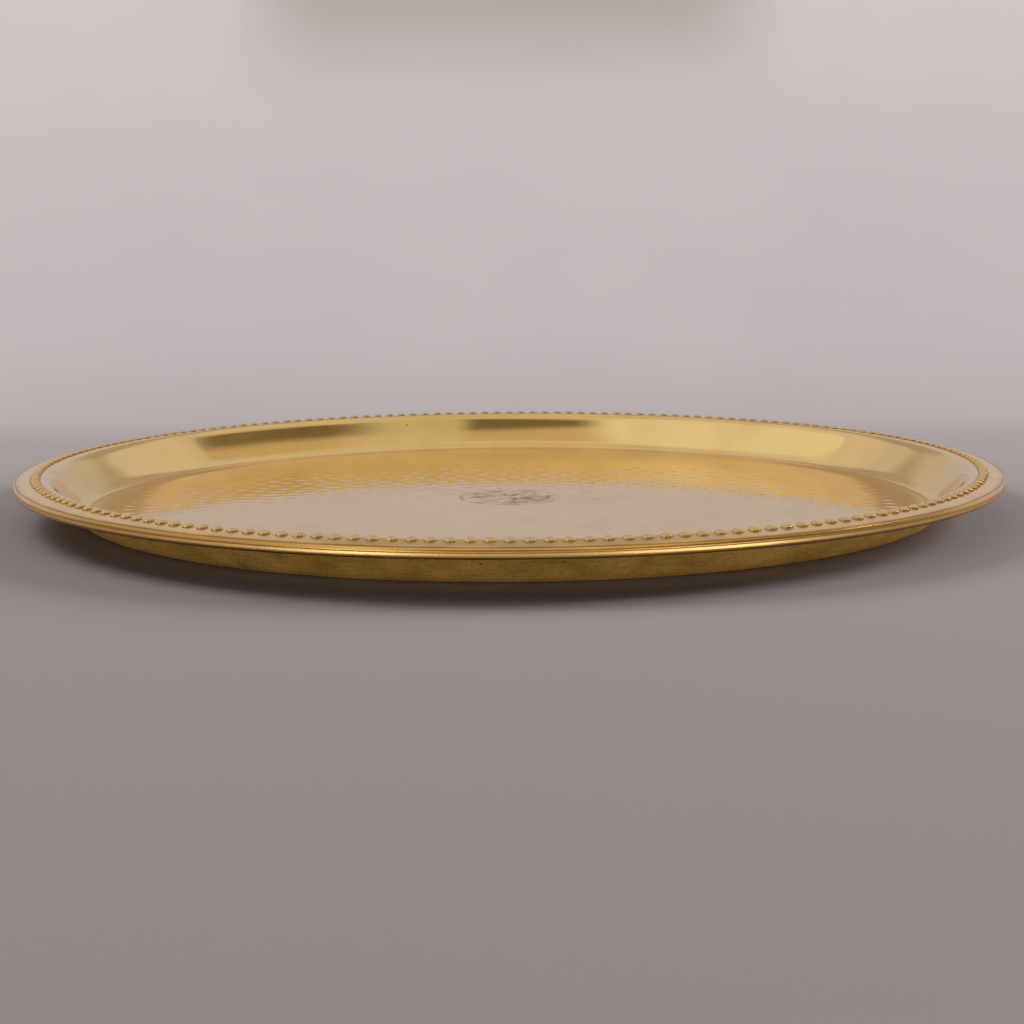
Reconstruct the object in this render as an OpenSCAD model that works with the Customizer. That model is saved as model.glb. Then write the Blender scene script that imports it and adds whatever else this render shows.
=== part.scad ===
// A shallow round thali plate in sheet brass: a dish with a ledge that falls outwards, its edge rolled
// under round a stiffening wire, and a row of beads soldered along the inside of the ledge.
// Millimetres, +Z up. The origin is on the table, under the middle of the floor.

/* [Plate] */
// Diameter over the rolled lip
plate_d = 305; // [250:1:360]
// Height of the rim's crest above the table
plate_h = 13.3; // [11:0.05:30]
// Thickness of the brass sheet
sheet_t = 0.85; // [0.6:0.05:1.5]

/* [Wall] */
// Slope of the wall, in degrees above the table
wall_angle = 54; // [35:1:70]
// Inside radius where the floor turns up into the wall
cove_r = 6.5; // [2:0.5:8]
// Radius under the crest, where the wall turns out into the ledge
shoulder_r = 3.5; // [1:0.5:6]

/* [Rim] */
// Width of the ledge, from the crest to the outside of the lip
ledge_w = 8.4; // [8:0.1:16]
// Slope of the ledge, in degrees, as it falls outwards from the crest
ledge_fall = 6; // [0:1:15]
// Diameter of the wire inside the rolled lip
wire_d = 1; // [0.6:0.1:2]
// Clearance between the wire and the sheet that is rolled round it
wire_clearance = 0.05; // [0.02:0.01:0.2]
// Gap between the two ends of the wire hoop, at the back
wire_end_gap = 0.8; // [0.3:0.1:3]

/* [Beads] */
// Diameter of a bead at its foot
bead_d = 3.3; // [2:0.1:4]
// Height of a bead above the ledge
bead_h = 0.85; // [0.5:0.05:1.5]
// Clear space between the feet of two neighbouring beads
bead_gap = 1.47; // [0.4:0.01:4]
// Ledge between the crest and the feet of the beads
bead_margin = 0; // [0:0.05:2]

/* [Hidden] */
$fn = 96;

// Largest turn, in degrees, between two points of an arc in section
arc_step = 5;

// Colours of polished sheet, drawn wire and cast beads
sheet_colour = [0.80, 0.62, 0.30];
wire_colour = [0.72, 0.55, 0.27];
bead_colour = [0.84, 0.66, 0.34];

// The rolled lip wraps the sheet round the wire
plate_r = plate_d / 2;
wire_r = wire_d / 2;
curl_bore_r = wire_r + wire_clearance;
lip_r = curl_bore_r + sheet_t;

// The wall runs straight between two bends, and its slope sets where the flat floor ends
ledge_inner_r = plate_r - ledge_w;
cove_outer_r = cove_r + sheet_t;
wall_foot_z = cove_outer_r * (1 - cos(wall_angle));
wall_head_z = plate_h - sheet_t - shoulder_r * (1 - cos(wall_angle));
wall_run = (wall_head_z - wall_foot_z) / tan(wall_angle);
floor_r = ledge_inner_r - wall_run - (shoulder_r + cove_outer_r) * sin(wall_angle);
cove_centre = [floor_r, cove_outer_r];
shoulder_centre = [ledge_inner_r, plate_h - sheet_t - shoulder_r];

// The ledge is straight between the shoulder and the lip and touches both bends, which sets the lip's height
ledge_normal = [sin(ledge_fall), cos(ledge_fall)];
ledge_turn = 90 - ledge_fall;
lip_run = plate_r - lip_r - shoulder_centre.x;
lip_rise = (shoulder_r + sheet_t - lip_r) / cos(ledge_fall) - lip_run * tan(ledge_fall);
lip_centre = shoulder_centre + [lip_run, lip_rise];

// Each bead is the cap of a sphere, and the beads share their circle evenly
bead_sphere_r = (bead_h * bead_h + bead_d * bead_d / 4) / (2 * bead_h);
bead_circle_r = ledge_inner_r + bead_margin + bead_d / 2;
bead_foot_z = lip_centre.y + (lip_r + (lip_centre.x - bead_circle_r) * ledge_normal.x) / ledge_normal.y;
bead_count = round(2 * PI * bead_circle_r / (bead_d + bead_gap));

// Points along an arc in section, from one angle to another
function arc(centre, r, from, to) =
    let (steps = ceil(abs(to - from) / arc_step))
    [for (i = [0:steps]) let (a = from + (to - from) * i / steps) centre + r * [cos(a), sin(a)]];

// Half of the sheet's section: out along its underside and into the curl, then back along its top
module sheet_section() {
    polygon(concat(
        [[0, 0]],
        arc(cove_centre, cove_outer_r, -90, wall_angle - 90),
        arc(shoulder_centre, shoulder_r, wall_angle + 90, ledge_turn),
        arc(lip_centre, curl_bore_r, ledge_turn, -180),
        arc(lip_centre, lip_r, -180, ledge_turn),
        arc(shoulder_centre, shoulder_r + sheet_t, ledge_turn, wall_angle + 90),
        arc(cove_centre, cove_r, wall_angle - 90, -90),
        [[0, sheet_t]]
    ));
}

// One spun sheet: floor, wall, ledge and rolled lip
module dish() {
    color(sheet_colour) rotate_extrude() sheet_section();
}

// The hoop of drawn wire that the lip is rolled round, with its ends nearly meeting at the back
module rim_wire() {
    end_angle = wire_end_gap / lip_centre.x * 180 / PI;
    color(wire_colour)
        rotate(90 + end_angle / 2)
            rotate_extrude(angle = 360 - end_angle) translate(lip_centre) circle(wire_r);
}

// One bead, standing on its flat foot
module bead() {
    rotate_extrude() intersection() {
        translate([0, bead_h - bead_sphere_r]) circle(bead_sphere_r);
        square(bead_sphere_r + bead_h);
    }
}

// The row of beads, each standing square on the sloping ledge
module rim_beads() {
    color(bead_colour)
        for (i = [0:bead_count - 1])
            rotate(360 * i / bead_count) translate([bead_circle_r, 0, bead_foot_z]) rotate([0, ledge_fall, 0]) bead();
}

dish();
rim_wire();
rim_beads();
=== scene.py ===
"""A hammered brass thali plate with a beaded rim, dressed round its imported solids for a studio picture."""

import math

import bpy
import numpy as np
from mathutils import Matrix, Vector


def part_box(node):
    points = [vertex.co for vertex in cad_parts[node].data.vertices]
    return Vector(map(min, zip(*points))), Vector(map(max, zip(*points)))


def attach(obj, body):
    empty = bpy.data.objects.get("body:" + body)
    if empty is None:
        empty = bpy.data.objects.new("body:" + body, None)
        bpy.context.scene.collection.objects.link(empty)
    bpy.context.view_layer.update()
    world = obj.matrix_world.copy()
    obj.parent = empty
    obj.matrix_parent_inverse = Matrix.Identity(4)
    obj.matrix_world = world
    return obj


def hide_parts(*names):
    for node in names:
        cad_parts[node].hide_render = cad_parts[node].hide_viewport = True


bl_info = {
    "name": "Thali plate",
    "version": (1, 0, 0),
    "blender": (4, 5, 0),
    "location": "View3D > Sidebar > Thali",
    "description": "Builds a hammered brass thali plate with a beaded rim, and a plain studio round it",
    "category": "Add Mesh",
}

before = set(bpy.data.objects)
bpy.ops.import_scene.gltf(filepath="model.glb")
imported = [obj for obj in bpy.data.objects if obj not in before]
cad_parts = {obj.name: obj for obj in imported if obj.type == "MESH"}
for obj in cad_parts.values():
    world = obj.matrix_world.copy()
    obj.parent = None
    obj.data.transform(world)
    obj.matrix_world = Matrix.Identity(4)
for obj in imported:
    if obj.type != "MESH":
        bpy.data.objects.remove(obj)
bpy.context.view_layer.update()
DISH_LOW, DISH_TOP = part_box("dish")
DISH_R = min(-DISH_LOW.x, -DISH_LOW.y, DISH_TOP.x, DISH_TOP.y)
MM = 0.001


# Properties

def linear(hex_colour):
    """Linear RGB of an sRGB hex colour."""
    levels = [int(hex_colour[i:i + 2], 16) / 255 for i in (1, 3, 5)]
    return tuple(v / 12.92 if v <= 0.04045 else ((v + 0.055) / 1.055) ** 2.4 for v in levels)


def length(name, description, default):
    """A length property, in metres."""
    return bpy.props.FloatProperty(
        name=name, description=description, default=default, precision=5, subtype="DISTANCE", unit="LENGTH")


def angle(name, description, degrees):
    """An angle property, given in degrees."""
    return bpy.props.FloatProperty(
        name=name, description=description, default=math.radians(degrees), subtype="ANGLE", unit="ROTATION")


def camera_size(name, description, size_mm):
    """A size inside the camera, given in millimetres."""
    return bpy.props.FloatProperty(
        name=name, description=description, default=size_mm, subtype="DISTANCE_CAMERA")


def colour(name, description, hex_colour):
    """A colour property, given as an sRGB hex value."""
    return bpy.props.FloatVectorProperty(
        name=name, description=description, default=linear(hex_colour), min=0, max=1, subtype="COLOR")


def light(name, description, radiance):
    """The light of a part of the room, given as linear red, green and blue."""
    return bpy.props.FloatVectorProperty(
        name=name, description=description, default=radiance, min=0, subtype="COLOR")


class ThaliSizes(bpy.types.PropertyGroup):
    """Sizes of the plate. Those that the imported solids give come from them."""

    plate_r: length("Plate radius", "Out to the lip", DISH_R)
    crest_z: length("Rim height", "Crest of the rim above the table", DISH_TOP.z)
    sheet_t: length("Sheet", "Thickness of the brass sheet", 0.85 * MM)
    wall_angle: angle("Wall slope", "Slope of the wall above the table", 54)
    wall_bow: length("Wall bow", "How far the wall's inside is hollowed by the spinning tool", 0.15 * MM)
    cove_r: length("Cove radius", "Inside radius between floor and wall", 6.5 * MM)
    shoulder_r: length("Shoulder radius", "Radius under the crest, between wall and ledge", 3.5 * MM)
    ledge_w: length("Ledge width", "From the crest to the outside of the lip", 8.4 * MM)
    ledge_fall: angle("Ledge slope", "How steeply the ledge falls outwards", 6)
    wire_d: length("Wire", "Diameter of the wire in the lip", 1 * MM)
    wire_clearance: length("Wire clearance", "Between the wire and the sheet round it", 0.05 * MM)
    lip_face_r: length("Lip face radius", "Radius of the lip's worn outer face", 7.8 * MM)
    lip_foot_r: length("Lip foot radius", "Radius under the lip's worn outer face", 0.85 * MM)
    lip_ripple: length("Lip ripple", "Unevenness that rolling leaves along the lip", 0.03 * MM)
    lip_line: length("Lip line", "Depth of the line where the rolled lip parts from the ledge", 0.14 * MM)
    bead_count: bpy.props.IntProperty(name="Beads", description="Beads in the row", default=192)
    bead_d: length("Bead", "Diameter of a bead at its foot", 3.3 * MM)
    bead_h: length("Bead height", "Height of a bead above the ledge", 0.85 * MM)
    bead_margin: length("Bead margin", "From the crest to the feet of the beads", 0)


class ThaliHammering(bpy.types.PropertyGroup):
    """The marks that the planishing hammer and the chasing tool leave in the floor."""

    ring_pitch: length("Ring pitch", "Between two rings of hammer marks", 7.0 * MM)
    mark_pitch: length("Mark pitch", "Between two marks along a ring", 7.4 * MM)
    mark_d: length("Mark diameter", "Across one hammer mark", 5.4 * MM)
    ring_wave: length("Ring wave", "Height of the rings that the hammer's rounds leave", 0.012 * MM)
    mark_depth: length("Mark depth", "Depth of one hammer mark", 0.11 * MM)
    inner_r: length("First ring", "Radius inside which there are no hammer marks", 19 * MM)
    outer_r: length("Last ring", "Radius outside which there are no hammer marks", 121 * MM)
    swell: length("Swell", "How much higher hammering has left the front of the floor", 0.85 * MM)
    swell_start: length("Swell start", "From the back of the floor to where the swell begins", 55 * MM)
    swell_run: length("Swell run", "Over which the swell rises", 65 * MM)
    swell_edge: length("Swell edge", "Over which the swell dies away before the floor's edge", 28 * MM)
    rosette_r: length("Rosette radius", "Radius of the chased rosette in the middle", 15.5 * MM)
    groove_w: length("Groove width", "Width of a chased line", 1.2 * MM)
    groove_depth: length("Groove depth", "Depth of a chased line", 0.12 * MM)
    smudge_x: length("Smudge place", "From the middle to a brown smudge beside the rosette", 24 * MM)
    smudge_w: length("Smudge width", "Half width of the smudge", 4 * MM)
    smudge_l: length("Smudge length", "Half length of the smudge", 9 * MM)


class ThaliColours(bpy.types.PropertyGroup):
    """Colours of the brass finishes and of the stage."""

    polished: colour("Polished brass", "Mop-polished inside of the dish", "#F2D392")
    turned: colour("Turned brass", "Ledge as the lathe left it", "#F6CF86")
    burnished: colour("Burnished brass", "Rolled lip", "#F0C06E")
    # Worn brass pales the lip's face and the tops of the beads: wear, and partly a painted highlight
    worn: colour("Worn brass", "Outermost line of the lip and tops of the beads, rubbed", "#DFB270")
    satin: colour("Satin brass", "Rubbed outside of the dish", "#F7C363")
    bead: colour("Bead brass", "Beads on the ledge", "#E2BE84")
    wire: colour("Drawn brass", "Wire in the lip", "#C79A50")
    # Tarnish also serves as painted shade: in front of the ledge, under the lip and under the rim
    tarnish_and_shade: colour("Tarnish", "Brown film where a cloth doesn't reach", "#6B4218")
    # Darker grey-brown towards the feet of the beads
    darkening: colour("Grime", "Grey-brown dirt round the feet of the beads", "#78603F")
    patina: colour("Patina", "Reddish brown left in the chased lines", "#84492C")
    floor: colour("Floor", "Matt floor of the stage", "#817A7A")
    # The floor is painted lighter behind the plate: painted light
    floor_back: colour("Floor back", "Matt floor of the stage, behind the plate", "#8A8383")
    # The backdrop's colours glow for the camera and in reflections: painted light
    backdrop: colour("Backdrop", "Matt backdrop of the stage, at its foot", "#BFB6B7")
    backdrop_top: colour("Backdrop top", "Matt backdrop of the stage, higher up", "#D8CFCF")
    board_cloud: colour("Board cloud", "Faint clouds on the floor and the backdrop", "#7C7979")
    # The dusk band is painted shade on the backdrop, which metal mirrors
    board_dusk: colour("Board dusk", "Warm darker band across the middle of the backdrop", "#816F55")


class ThaliRoom(bpy.types.PropertyGroup):
    """Light of the room round the stage, as the brass mirrors it, and the fill that matt surfaces get."""

    walls: light("Walls", "Walls of the room", (0.42, 0.40, 0.38))
    back: light("Back", "Room behind the stage", (0.62, 0.55, 0.45))
    dark: light("Dark side", "High up in front and to the right", (0.20, 0.155, 0.10))
    ceiling: light("Ceiling", "Front of the ceiling", (0.61, 0.50, 0.37))
    ceiling_line: light("Ceiling line", "Edge between the ceiling's front and back", (0.74, 0.66, 0.52))
    ceiling_back: light("Ceiling back", "Back of the ceiling", (0.65, 0.58, 0.50))
    strip: light("Strip", "Pale strip across the right of the ceiling", (0.68, 0.62, 0.51))
    window: light("Window", "Upper left of the room", (0.82, 0.77, 0.71))
    low_front: light("Low front", "Low in front of the stage", (0.95, 0.93, 0.90))
    fill_front: light("Front fill", "On matt surfaces, from the front", (0.05, 0.048, 0.046))
    fill_back: light("Back fill", "On matt surfaces, from the back", (0.8, 0.78, 0.76))


class ThaliStudio(bpy.types.PropertyGroup):
    """The camera's place, as the photograph has it, and the sheet that is floor and backdrop."""

    lens: camera_size("Lens", "Focal length", 64.16)
    sensor: camera_size("Sensor", "Width of the sensor", 36)
    distance: length("Distance", "From the camera to the middle of the plate's base", 0.5813)
    elevation: angle("Elevation", "Of the camera above the table", 8.777)
    roll: angle("Roll", "Of the camera about its own axis", -0.365)
    aim: bpy.props.FloatVectorProperty(
        name="Aim", description="Point that the camera looks at", default=(0.00075, 0, -0.00323),
        precision=5, subtype="TRANSLATION", unit="LENGTH")
    floor_front: length("Floor front", "From the middle of the plate to the floor's front edge", 1.4)
    floor_back: length("Floor back", "From the middle of the plate to where the floor curves up", 0.24)
    curve_r: length("Curve radius", "Between floor and backdrop", 0.25)
    backdrop_h: length("Backdrop height", "Above the floor, in the middle", 0.62)
    backdrop_slant: length("Backdrop slant", "How much higher it is at its right end", 0.26)
    half_w: length("Half width", "Of floor and backdrop", 1.6)


# Surfaces

def arc(centre, radius, start, stop, steps):
    """Points (r, z) on an arc, with angles in degrees from start to stop.

    Each is the centre plus the radius times the cosine and the sine of its angle.
    """
    turn = np.radians(np.linspace(start, stop, steps + 1))
    return np.column_stack([centre[0] + radius * np.cos(turn), centre[1] + radius * np.sin(turn)])


def between(start, stop, steps, bow=0.0):
    """Points between two points, without either end. A bow moves them right by a half sine of the way."""
    share = np.linspace(0, 1, steps + 1)[1:-1, None]
    along = np.asarray(stop) - np.asarray(start)
    right = np.array([along[1], -along[0]]) / np.hypot(*along)
    return np.asarray(start) + along * share + right * bow * np.sin(np.pi * share)


def smooth_step(share):
    """Smooth step from 0 to 1: three times the square of the share less twice its cube, held at its ends."""
    held = np.clip(share, 0, 1)
    return held * held * (3 - 2 * held)


def scatter(a, b, seed):
    """A fixed value from 0 to 1 for each pair of whole numbers.

    It is the fraction left of a large multiple of the sine of their weighted sum.
    """
    return np.mod(np.sin(a * 12.9898 + b * 78.233 + seed * 37.719) * 43758.5453, 1.0)


def sheet_bends(sizes):
    """Where the flat floor ends, the centres (r, z) of the sheet's three bends, and the lip's radius.

    The wall is straight between the cove and the shoulder, so its rise over the tangent of its slope
    gives its run, and the floor ends where that run and the two bends leave off. The ledge touches the
    shoulder and the lip, so its fall over the run between their centres gives the lip's height.
    """
    slope, fall = sizes.wall_angle, sizes.ledge_fall
    cove_outer = sizes.cove_r + sizes.sheet_t
    shoulder_outer = sizes.shoulder_r + sizes.sheet_t
    lip_r = sizes.wire_d / 2 + sizes.wire_clearance + sizes.sheet_t
    crest_r = sizes.plate_r - sizes.ledge_w
    both = sizes.shoulder_r + cove_outer
    rise = sizes.crest_z - sizes.sheet_t - both * (1 - math.cos(slope))
    floor_r = crest_r - rise / math.tan(slope) - both * math.sin(slope)
    lip_run = sizes.plate_r - lip_r - crest_r
    lip_rise = (shoulder_outer - lip_r) / math.cos(fall) - lip_run * math.tan(fall)
    cove = (floor_r, cove_outer)
    shoulder = (crest_r, sizes.crest_z - shoulder_outer)
    lip = (crest_r + lip_run, shoulder[1] + lip_rise)
    return floor_r, cove, shoulder, lip, lip_r


POLISHED, TURNED, BURNISHED, SATIN, TARNISHED_SHADED = range(5)


def sheet_profile(sizes):
    """Half of the sheet's section: points (r, z), the finish of the step to each, its darkening and its
    wear.

    It runs from the edge of the floor up the cove and the wall, over the crest and down the ledge, round
    the lip and into the curl, and back under the ledge, down the outside and under the floor to near the
    middle. Its angles are in degrees up from level. A stretch has its points, its finish, how much darker
    it is and how worn it is. Under the lip the darkening is painted shade, and the lip's face is worn
    paler, partly a painted highlight.
    """
    floor_r, cove, shoulder, lip, lip_r = sheet_bends(sizes)
    slope = math.degrees(sizes.wall_angle)
    ledge = 90 - math.degrees(sizes.ledge_fall)
    line_turn, line_width = ledge - 11, 18
    top_stop, face_high, face_low, face_foot = 11, 10, 4, -30
    under_start, under_stop, curl_turn = -8, -100, -180
    underside_shares = np.array([0.6, 0.1])
    cove_top = arc(cove, sizes.cove_r, -90, slope - 90, 7)
    shoulder_top = arc(shoulder, sizes.shoulder_r + sizes.sheet_t, slope + 90, ledge, 10)
    foot = np.array([lip[0] + lip_r, lip[1] + lip_r * math.sin(math.radians(face_foot))])
    low_turn = math.radians(face_low)
    face_centre = foot - sizes.lip_face_r * np.array([math.cos(low_turn), math.sin(low_turn)])
    lip_face = arc(face_centre, sizes.lip_face_r, face_high, face_low, 4)
    lip_line = arc(lip, lip_r, line_turn + line_width / 2, line_turn - line_width / 2, 2)
    lip_line[1] = arc(lip, lip_r - sizes.lip_line, line_turn, line_turn, 0)
    lip_top = arc(lip, lip_r, line_turn - line_width, top_stop, 7)
    lip_under = arc(foot - [sizes.lip_foot_r, 0], sizes.lip_foot_r, under_start, under_stop, 6)
    lip_in = arc(lip, lip_r, under_stop, curl_turn, 3)[1:]
    bore = arc(lip, lip_r - sizes.sheet_t, curl_turn, ledge, 8)
    shoulder_under = arc(shoulder, sizes.shoulder_r, ledge, slope + 90, 3)
    cove_under = arc(cove, sizes.cove_r + sizes.sheet_t, slope - 90, -90, 5)
    underside = np.column_stack([floor_r * underside_shares, np.zeros(2)])
    stretches = [
        (cove_top[1:], POLISHED, 0, 0),
        (between(cove_top[-1], shoulder_top[0], 8, sizes.wall_bow), POLISHED, 0, 0),
        (shoulder_top, POLISHED, 0, 0),
        (between(shoulder_top[-1], lip_line[0], 5), TURNED, 0, 0),
        # Darker brown along the line where the lip parts from the ledge
        (lip_line, TURNED, [0.3, 1.0, 0.9], 0),
        (lip_top, BURNISHED, 0, 0),
        # The lip's face is worn paler, partly a painted highlight
        (lip_face, BURNISHED, 0, [0.3, 0.9, 1.0, 0.9, 0.3]),
        # Painted shade: the lip darkens towards its underside
        (lip_under, BURNISHED, np.linspace(0.0, 0.6, len(lip_under)), 0),
        # Under the rim: brown film, and painted shade that keeps the shade under the rim deep
        (lip_in, TARNISHED_SHADED, 0, 0),
        (bore, TARNISHED_SHADED, 0, 0),
        (between(bore[-1], shoulder_under[0], 2), TARNISHED_SHADED, 0, 0),
        (shoulder_under, TARNISHED_SHADED, 0, 0),
        (between(shoulder_under[-1], cove_under[0], 3), SATIN, 0, 0),
        (cove_under, SATIN, 0, 0),
        (underside, SATIN, 0, 0),
    ]
    points = np.vstack([part for part, *_ in stretches])
    finish, dirt_and_shade, rub_and_highlight = [
        np.concatenate([np.broadcast_to(row[i], len(row[0])) for row in stretches]) for i in (1, 2, 3)]
    return points, finish, dirt_and_shade, rub_and_highlight


def hammer_marks(x, y, marks):
    """Depth of the hammer marks at each point.

    The marks stand on rings one pitch apart, a whole number to a ring. Each is a round dish, whose depth
    falls off as the square of what is left when the squared share of its radius is taken from one. Each
    is a little off its place and a little deeper or shallower than the next. Under them lies a cosine
    wave of one pitch.
    """
    shift_along, shift_across = 0.16, 0.12
    least_depth, more_depth = 0.75, 0.5
    r = np.hypot(x, y)
    turn = np.arctan2(y, x) / (2 * np.pi)
    from_inner = smooth_step((r - marks.inner_r) / marks.ring_pitch)
    to_outer = smooth_step((marks.outer_r - r) / marks.ring_pitch)
    depth = from_inner * to_outer * marks.ring_wave * np.cos(2 * np.pi * r / marks.ring_pitch)
    for ring_step in (-1, 0, 1):
        ring = np.rint(r / marks.ring_pitch) + ring_step
        ring_r = ring * marks.ring_pitch
        present = (ring_r >= marks.inner_r) & (ring_r <= marks.outer_r)
        count = np.maximum(np.rint(2 * np.pi * ring_r / marks.mark_pitch), 1)
        start = scatter(ring, 0, 1)
        nearest = np.rint((turn - start) * count)
        for step in (-1, 0, 1):
            mark = np.mod(nearest + step, count)
            off_along = shift_along * (scatter(ring, mark, 2) - 0.5)
            off_across = shift_across * (scatter(ring, mark, 3) - 0.5) * marks.ring_pitch
            about = 2 * np.pi * ((nearest + step + off_along) / count + start)
            mark_r = ring_r + off_across
            away = np.hypot(x - mark_r * np.cos(about), y - mark_r * np.sin(about))
            share = np.clip(1 - (2 * away / marks.mark_d) ** 2, 0, None)
            uneven = least_depth + more_depth * scatter(ring, mark, 4)
            depth += present * marks.mark_depth * uneven * share ** 2
    return depth


def floor_swell(x, y, floor_r, marks):
    """Height of the floor's slow swell, which hammering leaves: its front stands a little higher.

    The distance from the floor's back edge, along Y, goes through a smooth step. The swell dies away
    before the floor's edge by a smooth step of the distance to it.
    """
    from_back = np.sqrt(np.clip(floor_r ** 2 - x ** 2, 0, None)) - y
    to_edge = floor_r - np.hypot(x, y)
    risen = smooth_step((from_back - marks.swell_start) / marks.swell_run)
    return marks.swell * risen * smooth_step(to_edge / marks.swell_edge)


def rosette(x, y, marks):
    """Share of full depth, from 0 to 1, of the chased rosette.

    It has two rings, petals round a small ring, and dots between the two rings. A line's share falls off
    as a bell curve of the distance to it. The petals' line has a radius that swings with the cosine of as
    many turns as there are petals, and its distance is the radial one over the root of one plus its slope
    squared.
    """
    petals, dots = 8, 24
    petal_mean, petal_swing = 0.50 * marks.rosette_r, 0.22 * marks.rosette_r
    dot_ring, inner_ring, small_ring = 0.86 * marks.rosette_r, 0.78 * marks.rosette_r, 0.16 * marks.rosette_r
    least_r = 1 * MM
    r = np.hypot(x, y)
    turn = np.arctan2(y, x)
    petal = petal_mean + petal_swing * np.cos(petals * turn)
    lean = petals * petal_swing * np.sin(petals * turn) / np.maximum(r, least_r)
    dot_turn = np.mod(turn * dots / (2 * np.pi), 1.0) - 0.5
    gaps = [
        r - marks.rosette_r,
        r - inner_ring,
        (r - petal) / np.sqrt(1 + lean ** 2),
        r - small_ring,
        np.hypot(dot_turn * 2 * np.pi / dots * r, r - dot_ring),
    ]
    return np.max([np.exp(-(2 * gap / marks.groove_w) ** 2) for gap in gaps], axis=0)


def floor_grid(radius, fine_r, steps):
    """A square grid laid over a disc: rings of the square become circles, and points keep their share.

    The rings inside the fine radius are finer than those outside it, for the rosette's sake.
    """
    fine_share = 0.27
    u, v = np.meshgrid(np.linspace(-1, 1, steps + 1), np.linspace(-1, 1, steps + 1), indexing="ij")
    wide = np.abs(u) >= np.abs(v)
    long_side = np.where(wide, u, v)
    short_side = np.where(wide, v, u)
    swing = np.pi / 4 * short_side / np.where(long_side == 0, 1, long_side)
    about = np.where(wide, swing, np.pi / 2 - swing)
    r = np.interp(np.abs(long_side), [0, fine_share, 1], [0, fine_r, radius]) * np.sign(long_side)
    return (r * np.cos(about)).ravel(), (r * np.sin(about)).ravel()


# The floor's grid has as many points along its edge as the rest of the dish has spokes
FLOOR_STEPS = 192
SPOKES = 4 * FLOOR_STEPS


def hammered_floor(sizes, marks):
    """Points of the floor's upper face, and the dirt on each.

    A point's height is the sheet's thickness and the swell, less the hammer marks and the chased lines.
    Dirt lies in the chased lines, thinner between them, and in a smudge beside them that falls off as a
    bell curve.
    """
    floor_r = sheet_bends(sizes)[0]
    fine_r = 1.2 * marks.rosette_r
    inside_dirt, inside_rise, smudge_dirt = 0.4, 4, 0.5
    x, y = floor_grid(floor_r, fine_r, FLOOR_STEPS)
    chased = rosette(x, y, marks)
    lift = floor_swell(x, y, floor_r, marks)
    z = sizes.sheet_t + lift - hammer_marks(x, y, marks) - marks.groove_depth * chased
    inside = inside_dirt * smooth_step(inside_rise * (1 - np.hypot(x, y) / marks.rosette_r))
    smudge_x, smudge_y = (x - marks.smudge_x) / marks.smudge_w, y / marks.smudge_l
    smudge = smudge_dirt * np.exp(-smudge_x ** 2 - smudge_y ** 2)
    return np.column_stack([x, y, z]), np.max([chased, inside, smudge], axis=0)


def floor_rim(floor, floor_r):
    """Indices of the points on the floor's edge, in the order of the spokes."""
    x, y = floor[:, 0], floor[:, 1]
    rounding = 1e-6
    edge = np.flatnonzero(np.hypot(x, y) > floor_r * (1 - rounding))
    spoke = np.rint(np.arctan2(y[edge], x[edge]) * SPOKES / (2 * np.pi)).astype(int) % SPOKES
    rim = np.empty(SPOKES, int)
    rim[spoke] = edge
    return rim


def turned_sheet(sizes):
    """The sheet's section turned round the axis: points in rings, a finish for each ring, darkening and
    wear.

    The lip's ripple is the mean of four sines of the way round, and never stands out past the lip. The
    film on the lip comes and goes by a smooth step of a sine of a few turns. The ledge is darker in front,
    towards the camera: painted shade.
    """
    ripple_waves = ((7, 0.4), (17, 2.0), (31, 1.1), (53, 4.0))
    unrubbed_dirt, unrubbed_turns, unrubbed_mean, unrubbed_swing = 0.5, 5, 0.5, 0.7
    front_shade, front_shade_rise, front_shade_start = 0.24, 1.6, 0.6
    profile, finish, darkening, rub_and_highlight = sheet_profile(sizes)
    on_ledge, on_lip = finish == TURNED, finish == BURNISHED
    about = 2 * np.pi * np.arange(SPOKES) / SPOKES
    waves = [np.sin(count * about + start) for count, start in ripple_waves]
    ripple = sizes.lip_ripple * (np.mean(waves, axis=0) - 1)
    reach = profile[:, :1] + on_lip[:, None] * ripple
    height = np.repeat(profile[:, 1:], SPOKES, axis=1)
    points = np.stack([reach * np.cos(about), reach * np.sin(about), height], axis=-1).reshape(-1, 3)
    unrubbed = unrubbed_dirt * smooth_step(unrubbed_mean + unrubbed_swing * np.sin(unrubbed_turns * about))
    # Painted shade: a thin film darkens the front of the ledge, the side towards the camera
    held = front_shade * smooth_step(-front_shade_rise * np.sin(about) - front_shade_start)
    film = darkening[:, None] + (on_lip & (rub_and_highlight == 0))[:, None] * unrubbed + on_ledge[:, None] * held
    return points, finish, np.clip(film, 0, 1).ravel(), np.repeat(rub_and_highlight, SPOKES)


# Rings of a bead's dome, from its tip down: the share of the bead's radius, and how much darker it is
DOME_SHARES = np.array([0.34, 0.62, 0.82, 0.95, 1.0])
DOME_DARKENING = np.array([0.0, 0.0, 0.1, 0.45, 1.0])
DOME_SIDES = 12


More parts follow.
